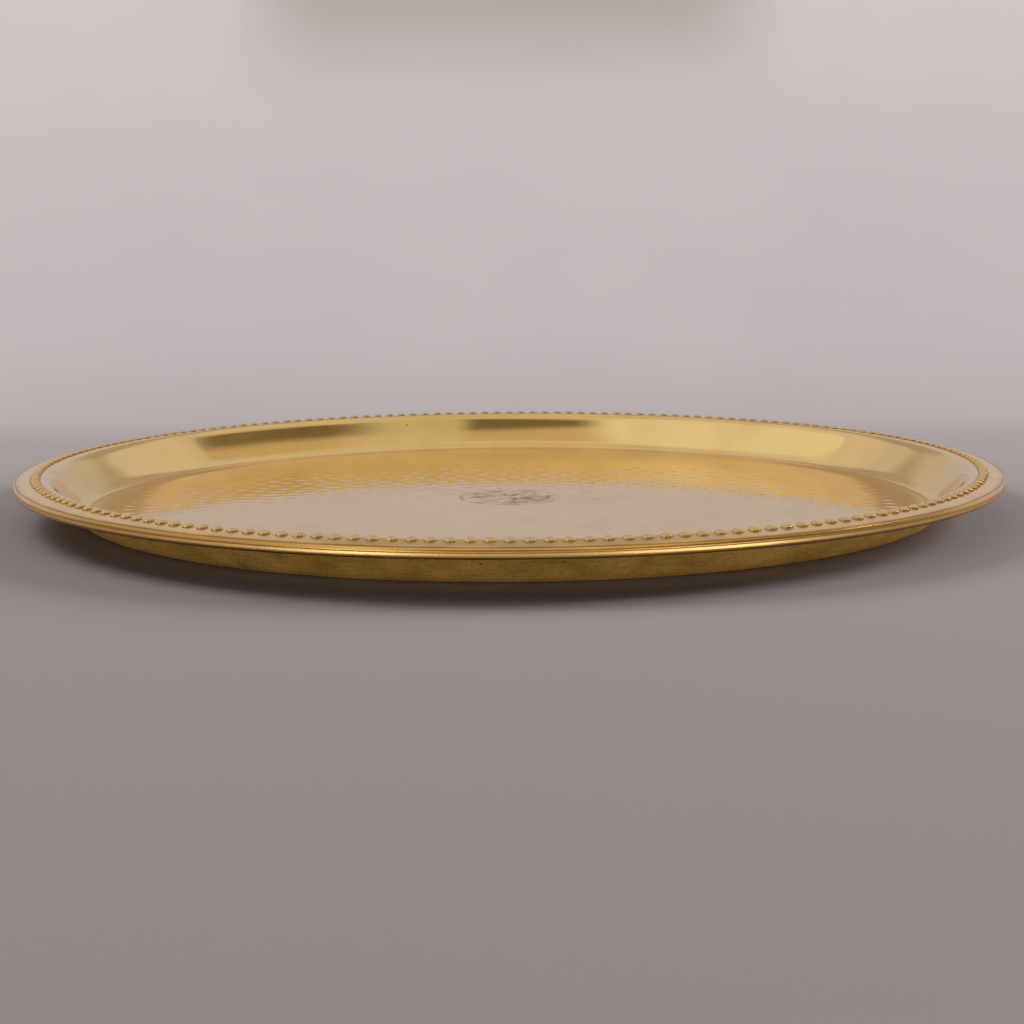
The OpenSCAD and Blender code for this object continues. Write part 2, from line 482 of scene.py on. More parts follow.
def bead_domes(sizes):
    """Points of the beads, one bead after another: the rings of its dome, and its tip.

    A dome has steep sides: its height is a power of what is left when a power of the share of its radius
    is taken from one. It stands square on the ledge, and no two beads are quite alike in width, height
    and place.
    """
    share_power, height_power = 2.4, 0.59
    least_width, more_width = 0.97, 0.03
    least_height, more_height = 0.87, 0.1
    shift_along, shift_out = 0.05, 0.05
    lip, lip_r = sheet_bends(sizes)[3:]
    fall_sin, fall_cos = math.sin(sizes.ledge_fall), math.cos(sizes.ledge_fall)
    circle_r = sizes.plate_r - sizes.ledge_w + sizes.bead_margin + sizes.bead_d / 2
    height_share = (1 - DOME_SHARES ** share_power) ** height_power
    number = np.arange(sizes.bead_count)
    wide = sizes.bead_d / 2 * (least_width + more_width * scatter(number, 1, 5))
    tall = sizes.bead_h * (least_height + more_height * scatter(number, 2, 6))
    about = 2 * np.pi * (number + shift_along * (scatter(number, 3, 7) - 0.5)) / sizes.bead_count
    out = circle_r + shift_out * sizes.bead_d * scatter(number, 4, 8)
    foot_z = lip[1] + (lip_r + (lip[0] - out) * fall_sin) / fall_cos
    side = 2 * np.pi * np.arange(DOME_SIDES) / DOME_SIDES
    skirt = wide[:, None, None] * DOME_SHARES[None, :, None]
    tip = np.zeros((len(number), 1))
    body_x = np.hstack([(skirt * np.cos(side)).reshape(len(number), -1), tip])
    body_y = np.hstack([(skirt * np.sin(side)).reshape(len(number), -1), tip])
    body_z = np.hstack([np.repeat(tall[:, None] * height_share, DOME_SIDES, axis=1), tall[:, None]])
    across = out[:, None] + body_x * fall_cos + body_z * fall_sin
    up = foot_z[:, None] - body_x * fall_sin + body_z * fall_cos
    return np.stack([
        across * np.cos(about)[:, None] - body_y * np.sin(about)[:, None],
        across * np.sin(about)[:, None] + body_y * np.cos(about)[:, None],
        up,
    ], axis=-1).reshape(-1, 3)


def bead_faces(count):
    """Corners of the beads' quads and triangles: rings of quads, and fans at the tip and under the foot."""
    rows = len(DOME_SHARES)
    each = rows * DOME_SIDES + 1
    rings = np.arange(rows * DOME_SIDES).reshape(rows, DOME_SIDES)
    foot = rings[-1]
    top = np.column_stack([np.full(DOME_SIDES, each - 1), rings[0], np.roll(rings[0], -1)])
    base = np.column_stack([np.full(DOME_SIDES - 2, foot[0]), foot[2:], foot[1:-1]])
    shift = (np.arange(count) * each)[:, None, None]
    quads = (ring_faces(rings)[None] + shift).reshape(-1, 4)
    triangles = (np.vstack([top, base])[None] + shift).reshape(-1, 3)
    return quads, triangles


def stage_sheet(studio):
    """Points of the stage's sheet, two to a row: floor, quarter circle and a wall with a slanting top."""
    middle, half_w, slant = (studio.floor_back, studio.curve_r), studio.half_w, studio.backdrop_slant
    curve = arc(middle, studio.curve_r, -90, 0, 16)
    top = [studio.floor_back + studio.curve_r, studio.backdrop_h]
    section = np.vstack([[[-studio.floor_front, 0]], curve, [top]])
    points = np.stack([
        np.repeat([[half_w, -half_w]], len(section), axis=0),
        np.repeat(section[:, :1], 2, axis=1),
        np.repeat(section[:, 1:], 2, axis=1),
    ], axis=-1)
    points[-1, :, 2] += [slant, -slant]
    return points


def grid_faces(across, along):
    """Corners of the quads of a grid of points, across by along, listed row after row."""
    first = (np.arange(across - 1)[:, None] * along + np.arange(along - 1)[None, :]).ravel()
    return np.column_stack([first, first + along, first + along + 1, first + 1])


def ring_faces(rings):
    """Corners of the quads between rings of points, given as rows of indices."""
    here, there = rings[:-1], rings[1:]
    corners = [here, there, np.roll(there, -1, axis=1), np.roll(here, -1, axis=1)]
    return np.stack(corners, axis=-1).reshape(-1, 4)


def mesh_object(name, points, quads, triangles=(), finish=None, materials=(), sharp=None):
    """A smooth mesh object from arrays of points, quads and triangles, with a finish for each face.

    Edges that turn by more than the sharp angle, in degrees, stay sharp.
    """
    corners = np.concatenate([np.asarray(quads).ravel(), np.asarray(triangles, int).ravel()])
    sizes = np.concatenate([np.full(len(quads), 4), np.full(len(triangles), 3)])
    mesh = bpy.data.meshes.new(name)
    mesh.vertices.add(len(points))
    mesh.vertices.foreach_set("co", np.asarray(points, np.float32).ravel())
    mesh.loops.add(len(corners))
    mesh.loops.foreach_set("vertex_index", corners.astype(np.int32))
    mesh.polygons.add(len(sizes))
    mesh.polygons.foreach_set("loop_start", (np.cumsum(sizes) - sizes).astype(np.int32))
    mesh.polygons.foreach_set("use_smooth", np.ones(len(sizes), bool))
    for material in materials:
        mesh.materials.append(material)
    if finish is not None:
        mesh.polygons.foreach_set("material_index", np.asarray(finish, np.int32))
    mesh.update(calc_edges=True)
    if mesh.validate():
        raise RuntimeError(name + " has faulty faces")
    if sharp is not None:
        mesh.set_sharp_from_angle(angle=math.radians(sharp))
    made = bpy.data.objects.new(name, mesh)
    bpy.context.scene.collection.objects.link(made)
    return made


def add_share(made, name, values):
    """Gives a mesh object a named share for each of its points, which a material can read."""
    layer = made.data.attributes.new(name, "FLOAT", "POINT")
    layer.data.foreach_set("value", np.asarray(values, np.float32))


# Materials

# A map range has its value at input 0, the range that it comes from at 1 and 2, and the range that it goes
# to at 3 and 4. A colour mix has its share at 0, its two colours at 6 and 7, and its colour output at 2.
RANGE = "ShaderNodeMapRange"
MIX = "ShaderNodeMix"
NOISE = "ShaderNodeTexNoise"
MATH = "ShaderNodeMath"
VECTOR = "ShaderNodeVectorMath"
SOFT = {"interpolation_type": "SMOOTHSTEP"}
BLEND = {"output": 2, "data_type": "RGBA"}


def add(tree, kind, inputs=None, output=0, **settings):
    """Adds a node with its settings, and returns one output.

    An input is a value, or the output that feeds it. A node without outputs is returned itself.
    """
    made = tree.nodes.new(kind)
    for key, value in settings.items():
        setattr(made, key, value)
    for key, value in (inputs or {}).items():
        if isinstance(value, bpy.types.NodeSocket):
            tree.links.new(value, made.inputs[key])
        else:
            made.inputs[key].default_value = value
    return made.outputs[output] if len(made.outputs) else made


def per(size_mm):
    """Texture scale that gives features of a size in millimetres on coordinates in metres."""
    return 1 / (size_mm * MM)


def paint(rgb):
    """A colour with its alpha."""
    return (*rgb, 1)


def material(name, recipe, colours, metallic=1.0, one_sided=False):
    """A new material, whose recipe works out its shader's inputs from object coordinates and the colours.

    A one-sided material is clear from behind, so that the plate can be seen from all round.
    """
    made = bpy.data.materials.new(name)
    made.use_nodes = True
    tree = made.node_tree
    tree.nodes.clear()
    where = add(tree, "ShaderNodeTexCoord", output="Object")
    inputs = recipe(tree, where, colours)
    shader = add(tree, "ShaderNodeBsdfPrincipled", {"Metallic": metallic, **inputs})
    if one_sided:
        behind = add(tree, "ShaderNodeNewGeometry", output="Backfacing")
        clear = add(tree, "ShaderNodeBsdfTransparent")
        shader = add(tree, "ShaderNodeMixShader", {0: behind, 1: shader, 2: clear})
    add(tree, "ShaderNodeOutputMaterial", {"Surface": shader})
    return made


def polished_brass(tree, where, colours):
    """Brass sheet, mop polished: a near mirror with wipe marks and a few freckles, brown where chased."""
    cloud = add(tree, NOISE, {"Vector": where, "Scale": per(22), "Detail": 4.0})
    grain = add(tree, NOISE, {"Vector": where, "Scale": per(0.9), "Detail": 3.0})
    patch = add(tree, NOISE, {"Vector": where, "Scale": per(4), "Detail": 4.0})
    freckle = add(tree, "ShaderNodeTexVoronoi", {"Vector": where, "Scale": per(26)}, "Distance")
    dirt_and_shade = add(tree, "ShaderNodeAttribute", output="Fac", attribute_name="dirt_and_shade")
    film = add(tree, RANGE, {0: cloud, 1: 0.45, 2: 0.8, 3: 0.0, 4: 0.16})
    worn = add(tree, MIX, {0: film, 6: paint(colours.polished), 7: paint(colours.tarnish_and_shade)}, **BLEND)
    spots = add(tree, RANGE, {0: freckle, 1: 0.010, 2: 0.018, 3: 0.7, 4: 0.0})
    spotted = add(tree, MIX, {0: spots, 6: worn, 7: paint(colours.tarnish_and_shade)}, **BLEND)
    left = add(tree, RANGE, {0: patch, 1: 0.4, 2: 0.62, 3: 0.0, 4: 1.0})
    brown = add(tree, MATH, {0: dirt_and_shade, 1: left}, operation="MULTIPLY")
    tint = add(tree, MIX, {0: brown, 6: spotted, 7: paint(colours.patina)}, **BLEND)
    smooth = add(tree, RANGE, {0: cloud, 1: 0.3, 2: 0.75, 3: 0.045, 4: 0.1})
    rough = add(tree, MATH, {0: brown, 1: 0.3, 2: smooth}, operation="MULTIPLY_ADD")
    bump = add(tree, "ShaderNodeBump", {"Height": grain, "Strength": 0.04, "Distance": 0.05 * MM})
    return {"Base Color": tint, "Roughness": rough, "Normal": bump}


def turned_brass(tree, where, colours):
    """Brass as the lathe left it: fine lines round the rim stretch reflections across them.

    A brown film lies in the line by the lip, and a thinner film in front of the ledge is painted shade.
    """
    cloud = add(tree, NOISE, {"Vector": where, "Scale": per(14), "Detail": 5.0})
    grain = add(tree, NOISE, {"Vector": where, "Scale": per(0.7), "Detail": 4.0})
    dirt_and_shade = add(tree, "ShaderNodeAttribute", output="Fac", attribute_name="dirt_and_shade")
    film = add(tree, RANGE, {0: cloud, 1: 0.4, 2: 0.8, 3: 0.0, 4: 0.2})
    worn = add(tree, MIX, {0: film, 6: paint(colours.turned), 7: paint(colours.tarnish_and_shade)}, **BLEND)
    left = add(tree, RANGE, {0: cloud, 1: 0.3, 2: 0.6, 3: 0.6, 4: 1.0})
    brown = add(tree, MATH, {0: dirt_and_shade, 1: left}, operation="MULTIPLY")
    tint = add(tree, MIX, {0: brown, 6: worn, 7: paint(colours.tarnish_and_shade)}, **BLEND)
    rough = add(tree, RANGE, {0: cloud, 1: 0.3, 2: 0.75, 3: 0.16, 4: 0.26})
    bump = add(tree, "ShaderNodeBump", {"Height": grain, "Strength": 0.15, "Distance": 0.05 * MM})
    lines = {"Anisotropic": 0.5, "Anisotropic Rotation": 0.25}
    return {"Base Color": tint, "Roughness": rough, "Normal": bump, **lines}


def burnished_brass(tree, where, colours):
    """Brass lip, rolled and worn down: brown above, and darker below, which is painted shade. Its face,
    where hands wear it, is paler and grainy, partly a painted highlight.
    """
    cloud = add(tree, NOISE, {"Vector": where, "Scale": per(9), "Detail": 5.0})
    grain = add(tree, NOISE, {"Vector": where, "Scale": per(0.5), "Detail": 3.0})
    dirt_and_shade = add(tree, "ShaderNodeAttribute", output="Fac", attribute_name="dirt_and_shade")
    rub_and_highlight = add(tree, "ShaderNodeAttribute", output="Fac", attribute_name="rub_and_highlight")
    film = add(tree, RANGE, {0: cloud, 1: 0.4, 2: 0.8, 3: 0.0, 4: 0.32})
    # Darker towards the lip's underside: painted shade, beside the brown film
    soiled_and_shaded = add(tree, MATH, {0: film, 1: dirt_and_shade}, operation="MAXIMUM")
    dull = add(tree, MIX, {0: soiled_and_shaded, 6: paint(colours.burnished), 7: paint(colours.tarnish_and_shade)}, **BLEND)
    # Paler on the worn face: partly wear, partly a painted highlight
    tint = add(tree, MIX, {0: rub_and_highlight, 6: dull, 7: paint(colours.worn)}, **BLEND)
    smooth = add(tree, RANGE, {0: cloud, 1: 0.3, 2: 0.75, 3: 0.15, 4: 0.25})
    scuffed = add(tree, MATH, {0: rub_and_highlight, 1: dirt_and_shade}, operation="MAXIMUM")
    rough = add(tree, MATH, {0: scuffed, 1: 0.1, 2: smooth}, operation="MULTIPLY_ADD")
    bump = add(tree, "ShaderNodeBump", {"Height": grain, "Strength": 0.5, "Distance": 0.05 * MM})
    return {"Base Color": tint, "Roughness": rough, "Normal": bump}


def satin_brass(tree, where, colours):
    """Brass turned and rubbed with grit: a soft sheen, faint lines round the dish and dark pits.

    The lines follow the circle because the noise sees little of the way round, and all of the way out.
    """
    flat = add(tree, VECTOR, {0: where, 1: (1, 1, 0)}, operation="MULTIPLY")
    around = add(tree, VECTOR, {0: flat}, operation="NORMALIZE")
    out = add(tree, VECTOR, {0: flat}, "Value", operation="LENGTH")
    up = add(tree, "ShaderNodeSeparateXYZ", {0: where}, "Z")
    across = add(tree, MATH, {0: out, 1: up}, operation="ADD")
    rise = add(tree, "ShaderNodeCombineXYZ", {"Z": across})
    squeeze = (12 * MM, 12 * MM, 0)
    track = add(tree, VECTOR, {0: around, 1: squeeze, 2: rise}, operation="MULTIPLY_ADD")
    lines = add(tree, NOISE, {"Vector": track, "Scale": per(0.7), "Detail": 4.0})
    cloud = add(tree, NOISE, {"Vector": where, "Scale": per(9), "Detail": 5.0})
    grain = add(tree, NOISE, {"Vector": where, "Scale": per(0.8), "Detail": 4.0})
    pits = add(tree, "ShaderNodeTexVoronoi", {"Vector": where, "Scale": per(8)}, "Distance")
    patch = add(tree, MATH, {0: lines, 1: 0.5, 2: cloud}, operation="MULTIPLY_ADD")
    speckle = add(tree, MATH, {0: grain, 1: 0.7, 2: patch}, operation="MULTIPLY_ADD")
    film = add(tree, RANGE, {0: speckle, 1: 0.88, 2: 1.4, 3: 0.0, 4: 0.55})
    worn = add(tree, MIX, {0: film, 6: paint(colours.satin), 7: paint(colours.tarnish_and_shade)}, **BLEND)
    dark = add(tree, RANGE, {0: pits, 1: 0.03, 2: 0.06, 3: 0.7, 4: 0.0})
    tint = add(tree, MIX, {0: dark, 6: worn, 7: paint(colours.tarnish_and_shade)}, **BLEND)
    rough = add(tree, RANGE, {0: patch, 1: 0.45, 2: 1.0, 3: 0.56, 4: 0.7})
    bump = add(tree, "ShaderNodeBump", {"Height": grain, "Strength": 0.3, "Distance": 0.06 * MM})
    return {"Base Color": tint, "Roughness": rough, "Normal": bump}


def tarnished_shaded_brass(tree, where, colours):
    """Brass under the rim that no cloth reaches: a dull brown film with a little metal showing through. It
    is
    also painted shade: kept dark, so that the shade under the rim stays deep.
    """
    cloud = add(tree, NOISE, {"Vector": where, "Scale": per(6), "Detail": 5.0})
    grain = add(tree, NOISE, {"Vector": where, "Scale": per(0.8), "Detail": 4.0})
    film = add(tree, RANGE, {0: cloud, 1: 0.3, 2: 0.7, 3: 0.65, 4: 1.0})
    tint = add(tree, MIX, {0: film, 6: paint(colours.satin), 7: paint(colours.tarnish_and_shade)}, **BLEND)
    rough = add(tree, RANGE, {0: cloud, 1: 0.3, 2: 0.7, 3: 0.5, 4: 0.7})
    bump = add(tree, "ShaderNodeBump", {"Height": grain, "Strength": 0.3, "Distance": 0.06 * MM})
    return {"Base Color": tint, "Roughness": rough, "Normal": bump}


def bead_brass(tree, where, colours):
    """Small brass beads, worn paler on top, partly a painted highlight, and darker grey-brown towards their
    feet.
    """
    foot = add(tree, "ShaderNodeAttribute", output="Fac", attribute_name="foot")
    cloud = add(tree, NOISE, {"Vector": where, "Scale": per(1.2), "Detail": 3.0})
    # Darker grey-brown towards the feet
    patchy = add(tree, MATH, {0: foot, 1: cloud}, operation="MULTIPLY")
    film = add(tree, RANGE, {0: patchy, 1: 0.04, 2: 0.4, 3: 0.0, 4: 0.6})
    # Paler towards the top: wear, and partly a painted highlight
    top = add(tree, RANGE, {0: foot, 1: 0.0, 2: 0.3, 3: 0.4, 4: 0.0})
    rubbed_and_highlit = add(tree, MIX, {0: top, 6: paint(colours.bead), 7: paint(colours.worn)}, **BLEND)
    tint = add(tree, MIX, {0: film, 6: rubbed_and_highlit, 7: paint(colours.darkening)}, **BLEND)
    rough = add(tree, RANGE, {0: patchy, 1: 0.0, 2: 0.5, 3: 0.1, 4: 0.34})
    bump = add(tree, "ShaderNodeBump", {"Height": cloud, "Strength": 0.3, "Distance": 0.08 * MM})
    return {"Base Color": tint, "Roughness": rough, "Normal": bump}


def drawn_brass(tree, where, colours):
    """Hard-drawn brass wire: a dull sheen with a fine grain and a brown film, shut away inside the lip."""
    cloud = add(tree, NOISE, {"Vector": where, "Scale": per(5), "Detail": 5.0})
    grain = add(tree, NOISE, {"Vector": where, "Scale": per(0.3), "Detail": 2.0})
    film = add(tree, RANGE, {0: cloud, 1: 0.35, 2: 0.75, 3: 0.1, 4: 0.6})
    tint = add(tree, MIX, {0: film, 6: paint(colours.wire), 7: paint(colours.tarnish_and_shade)}, **BLEND)
    rough = add(tree, RANGE, {0: cloud, 1: 0.3, 2: 0.75, 3: 0.28, 4: 0.42})
    bump = add(tree, "ShaderNodeBump", {"Height": grain, "Strength": 0.2, "Distance": 0.03 * MM})
    return {"Base Color": tint, "Roughness": rough, "Normal": bump}


def matt_board(tree, where, colours):
    """Matt painted board: a grey floor that keeps shadows, and a paler backdrop that glows in its own
    colour.

    For the camera and for reflections the backdrop, and the floor next to it, glow with the backdrop's
    colours: painted light, which lights no matt surface. The floor is painted lighter behind the plate,
    also painted light. The backdrop grows paler upwards, and has a warm darker band across its middle,
    painted shade which metal shows. Places are in metres.
    """
    axes = add(tree, "ShaderNodeSeparateXYZ", {0: where}).node.outputs
    height = axes["Z"]
    behind = add(tree, RANGE, {0: axes["Y"], 1: -0.1, 2: 0.26, 3: 0.0, 4: 1.0}, **SOFT)
    up = add(tree, RANGE, {0: axes["Y"], 1: 0.15, 2: 0.38, 3: 0.0, 4: 1.0}, **SOFT)
    higher = add(tree, RANGE, {0: height, 1: 0.01, 2: 0.35, 3: 0.0, 4: 1.0}, **SOFT)
    cloud = add(tree, NOISE, {"Vector": where, "Scale": per(120), "Detail": 6.0})
    shade = add(tree, RANGE, {0: cloud, 1: 0.3, 2: 0.7, 3: 0.0, 4: 0.08})
    even = add(tree, MIX, {0: higher, 6: paint(colours.backdrop), 7: paint(colours.backdrop_top)}, **BLEND)
    aside = add(tree, MATH, {0: axes["X"], 1: axes["X"]}, operation="MULTIPLY")
    # Painted shade: a warm darker band across the middle of the backdrop
    middle = add(tree, RANGE, {0: aside, 1: 0.008, 2: 0.03, 3: 0.5, 4: 0.0}, **SOFT)
    upper = add(tree, RANGE, {0: height, 1: 0.14, 2: 0.23, 3: 0.0, 4: 1.0}, **SOFT)
    lower = add(tree, RANGE, {0: height, 1: 0.32, 2: 0.42, 3: 1.0, 4: 0.0}, **SOFT)
    band = add(tree, MATH, {0: upper, 1: lower}, operation="MULTIPLY")
    dusk = add(tree, MATH, {0: band, 1: middle}, operation="MULTIPLY")
    faded = add(tree, MIX, {0: dusk, 6: even, 7: paint(colours.board_dusk)}, **BLEND)
    backdrop = add(tree, MIX, {0: shade, 6: faded, 7: paint(colours.board_cloud)}, **BLEND)
    # Painted light: the floor is lighter behind the plate
    level = add(tree, MIX, {0: behind, 6: paint(colours.floor), 7: paint(colours.floor_back)}, **BLEND)
    floor = add(tree, MIX, {0: shade, 6: level, 7: paint(colours.board_cloud)}, **BLEND)
    rays = add(tree, "ShaderNodeLightPath").node.outputs
    # Painted light: the backdrop, and the floor next to it, glow for the camera and in reflections
    mirror = add(tree, MATH, {0: rays["Is Glossy Ray"], 1: rays["Is Transmission Ray"]}, operation="ADD")
    seen = add(tree, MATH, {0: rays["Is Camera Ray"], 1: mirror}, operation="ADD", use_clamp=True)
    painted_glow = add(tree, MATH, {0: seen, 1: up}, operation="MULTIPLY")
    tint = add(tree, MIX, {0: painted_glow, 6: floor, 7: (0, 0, 0, 1)}, **BLEND)
    return {"Base Color": tint, "Roughness": 0.85, "Emission Color": backdrop, "Emission Strength": painted_glow}


# Pieces

class THALI_OT_dish(bpy.types.Operator):
    """Makes the dish: a hammered floor, and the rest of the sheet's section turned round the axis"""

    bl_idname = "thali.dish"
    bl_label = "Dish"

    def execute(self, context):
        thali = context.scene.thali
        sizes, marks, colours = thali.sizes, thali.hammering, thali.colours
        floor, floor_dirt = hammered_floor(sizes, marks)
        turned, finish, film, rub_and_highlight = turned_sheet(sizes)
        rim = floor_rim(floor, sheet_bends(sizes)[0])
        rings = np.vstack([rim, len(floor) + np.arange(len(turned)).reshape(-1, SPOKES)])
        last = rings[-1]
        middle = len(floor) + len(turned)
        points = np.vstack([floor, turned, [[0, 0, 0]]])
        quads = np.vstack([grid_faces(FLOOR_STEPS + 1, FLOOR_STEPS + 1), ring_faces(rings)])
        triangles = np.column_stack([last, np.full(SPOKES, middle), np.roll(last, -1)])
        faces = np.concatenate([
            np.full(FLOOR_STEPS * FLOOR_STEPS, POLISHED),
            np.repeat(finish, SPOKES),
            np.full(SPOKES, SATIN),
        ])
        materials = [
            material("Polished brass sheet", polished_brass, colours),
            material("Turned brass ledge", turned_brass, colours),
            material("Burnished brass lip", burnished_brass, colours),
            material("Satin brass outside", satin_brass, colours, metallic=0.5),
            # Under the rim the dark film is partly painted shade
            material("Tarnished brass under the rim", tarnished_shaded_brass, colours),
        ]
        dish = mesh_object("dish_sheet", points, quads, triangles, faces, materials, sharp=50)
        # The share holds brown film and patina, and painted shade under the lip and in front of the ledge
        add_share(dish, "dirt_and_shade", np.concatenate([floor_dirt, film, [0]]))
        # Wear on the lip's face, which also paints its highlight paler
        add_share(dish, "rub_and_highlight", np.concatenate([np.zeros(len(floor)), rub_and_highlight, [0]]))
        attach(dish, "root")
        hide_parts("dish")
        return {"FINISHED"}


class THALI_OT_beads(bpy.types.Operator):
    """Makes the row of beads, set square on the sloping ledge, no two quite alike"""

    bl_idname = "thali.beads"
    bl_label = "Beads"

    def execute(self, context):
        thali = context.scene.thali
        sizes = thali.sizes
        brass = material("Rubbed brass beads", bead_brass, thali.colours)
        quads, triangles = bead_faces(sizes.bead_count)
        points = bead_domes(sizes)
        beads = mesh_object("rim_bead_row", points, quads, triangles, None, [brass], sharp=60)
        foot = np.concatenate([np.repeat(DOME_DARKENING, DOME_SIDES), [0.0]])
        add_share(beads, "foot", np.tile(foot, sizes.bead_count))
        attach(beads, "root")
        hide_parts("rim_beads")
        return {"FINISHED"}


class THALI_OT_wire(bpy.types.Operator):
    """Gives the wire hoop inside the lip its drawn brass"""

    bl_idname = "thali.wire"
    bl_label = "Wire"

    def execute(self, context):
        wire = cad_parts["rim_wire"]
        wire.data.materials.clear()
        wire.data.materials.append(material("Drawn brass wire", drawn_brass, context.scene.thali.colours))
        return {"FINISHED"}


# Stage

ON_PLATE = (0, 0, 0.01)
ON_TABLE = (0, 0, 0)

# Lamps: name, place, point that it is turned to, width, height, radiance, and whether metal shows it
LAMPS = (
    ("softbox_right", (0.77, -0.92, 0.13), ON_PLATE, 0.7, 0.3, 2.5, True),
    ("softbox_left", (-0.62, -1.03, 0.13), ON_PLATE, 0.5, 0.3, 2.4, True),
    ("spot", (0.86, 0.24, 0.81), ON_PLATE, 0.07, 0.07, 18, True),
    ("softbox_low", (0, -1.25, 0.06), ON_PLATE, 0.9, 0.24, 2.2, False),
    ("softbox_back_right", (1.6, 0.75, 0.65), ON_TABLE, 0.9, 0.6, 37, False),
    ("softbox_back_left", (-1.0, 0.84, 0.85), ON_TABLE, 0.8, 0.6, 17, False),
)


def softbox(name, place, target, width, height, radiance, mirrored):
    """A rectangular lamp, turned to a target. Its power is its radiance times its area times pi."""
    lamp = bpy.data.lights.new(name, "AREA")
    lamp.shape = "RECTANGLE"
    lamp.size = width
    lamp.size_y = height
    lamp.energy = radiance * width * height * math.pi
    made = bpy.data.objects.new(name, lamp)
    made.location = place
    made.rotation_euler = (Vector(target) - Vector(place)).to_track_quat("-Z", "Y").to_euler()
    made.visible_glossy = mirrored
    bpy.context.scene.collection.objects.link(made)


def mirrored_room(tree, towards, room):
    """The room that the brass mirrors: warm overhead, pale on the left and low in front, dark on the right.

    Dot products with the direction tell how far it lies overhead, leaning to the back, and to the front
    right. The ceiling's back begins where Y passes a share of the square of X. The dark side ends towards
    the back, which is paler, and a pale strip crosses the right of the ceiling.
    """
    axes = add(tree, "ShaderNodeSeparateXYZ", {0: towards}).node.outputs
    leaning, aside = (-0.07, 0.363, 0.931), (0.9, -0.45, 0)
    overhead = add(tree, VECTOR, {0: towards, 1: leaning}, "Value", operation="DOT_PRODUCT")
    front_right = add(tree, VECTOR, {0: towards, 1: aside}, "Value", operation="DOT_PRODUCT")
    sideways = add(tree, RANGE, {0: front_right, 1: -0.22, 2: -0.05, 3: 0.0, 4: 1.0}, **SOFT)
    raised = add(tree, RANGE, {0: axes["Z"], 1: 0.5, 2: 0.66, 3: 0.0, 4: 1.0}, **SOFT)
    to_back = add(tree, RANGE, {0: axes["Y"], 1: 0.22, 2: 0.45, 3: 0.0, 4: 1.0}, **SOFT)
    to_front = add(tree, MATH, {0: 1.0, 1: to_back}, operation="SUBTRACT")
    high_right = add(tree, MATH, {0: sideways, 1: raised}, operation="MULTIPLY")
    unlit = add(tree, MATH, {0: high_right, 1: to_front}, operation="MULTIPLY")
    walls = add(tree, MIX, {0: to_back, 6: paint(room.walls), 7: paint(room.back)}, **BLEND)
    dim = add(tree, MIX, {0: unlit, 6: walls, 7: paint(room.dark)}, **BLEND)

    zenith = add(tree, RANGE, {0: overhead, 1: 0.665, 2: 0.72, 3: 0.0, 4: 1.0}, **SOFT)
    x_squared = add(tree, MATH, {0: axes["X"], 1: axes["X"]}, operation="MULTIPLY")
    past = add(tree, MATH, {0: x_squared, 1: -1.45, 2: axes["Y"]}, operation="MULTIPLY_ADD")
    behind = add(tree, RANGE, {0: past, 1: -0.21, 2: -0.08, 3: 0.0, 4: 1.0}, **SOFT)
    line_start = add(tree, RANGE, {0: past, 1: -0.36, 2: -0.24, 3: 0.0, 4: 1.0}, **SOFT)
    line_side = add(tree, RANGE, {0: axes["X"], 1: 0.16, 2: 0.4, 3: 1.0, 4: 0.0}, **SOFT)
    line = add(tree, MATH, {0: line_start, 1: line_side}, operation="MULTIPLY")
    warm = add(tree, MIX, {0: line, 6: paint(room.ceiling), 7: paint(room.ceiling_line)}, **BLEND)
    ceiling = add(tree, MIX, {0: behind, 6: warm, 7: paint(room.ceiling_back)}, **BLEND)
    roof = add(tree, MIX, {0: zenith, 6: dim, 7: ceiling}, **BLEND)

    strip_start = add(tree, RANGE, {0: axes["X"], 1: 0.11, 2: 0.19, 3: 0.0, 4: 0.9}, **SOFT)
    strip_stop = add(tree, RANGE, {0: axes["X"], 1: 0.38, 2: 0.58, 3: 1.0, 4: 0.0}, **SOFT)
    strip_low = add(tree, RANGE, {0: axes["Z"], 1: 0.74, 2: 0.8, 3: 0.0, 4: 1.0}, **SOFT)
    strip_side = add(tree, MATH, {0: strip_start, 1: strip_stop}, operation="MULTIPLY")
    strip = add(tree, MATH, {0: strip_side, 1: strip_low}, operation="MULTIPLY")
    banded = add(tree, MIX, {0: strip, 6: roof, 7: paint(room.strip)}, **BLEND)

    left = add(tree, RANGE, {0: axes["X"], 1: -0.38, 2: -0.22, 3: 1.0, 4: 0.0}, **SOFT)
    high = add(tree, RANGE, {0: axes["Z"], 1: 0.3, 2: 0.5, 3: 0.0, 4: 1.0}, **SOFT)
    before = add(tree, MATH, {0: behind, 1: -0.5, 2: 1.0}, operation="MULTIPLY_ADD")
    high_before = add(tree, MATH, {0: high, 1: before}, operation="MULTIPLY")
    upper_left = add(tree, MATH, {0: left, 1: high_before}, operation="MULTIPLY")
    window = add(tree, MIX, {0: upper_left, 6: banded, 7: paint(room.window)}, **BLEND)

    front = add(tree, RANGE, {0: axes["Y"], 1: -0.5, 2: 0.0, 3: 1.0, 4: 0.0}, **SOFT)
    low = add(tree, RANGE, {0: axes["Z"], 1: 0.08, 2: 0.17, 3: 1.0, 4: 0.0}, **SOFT)
    front_low = add(tree, MATH, {0: front, 1: low}, operation="MULTIPLY")
    return add(tree, MIX, {0: front_low, 6: window, 7: paint(room.low_front)}, **BLEND)


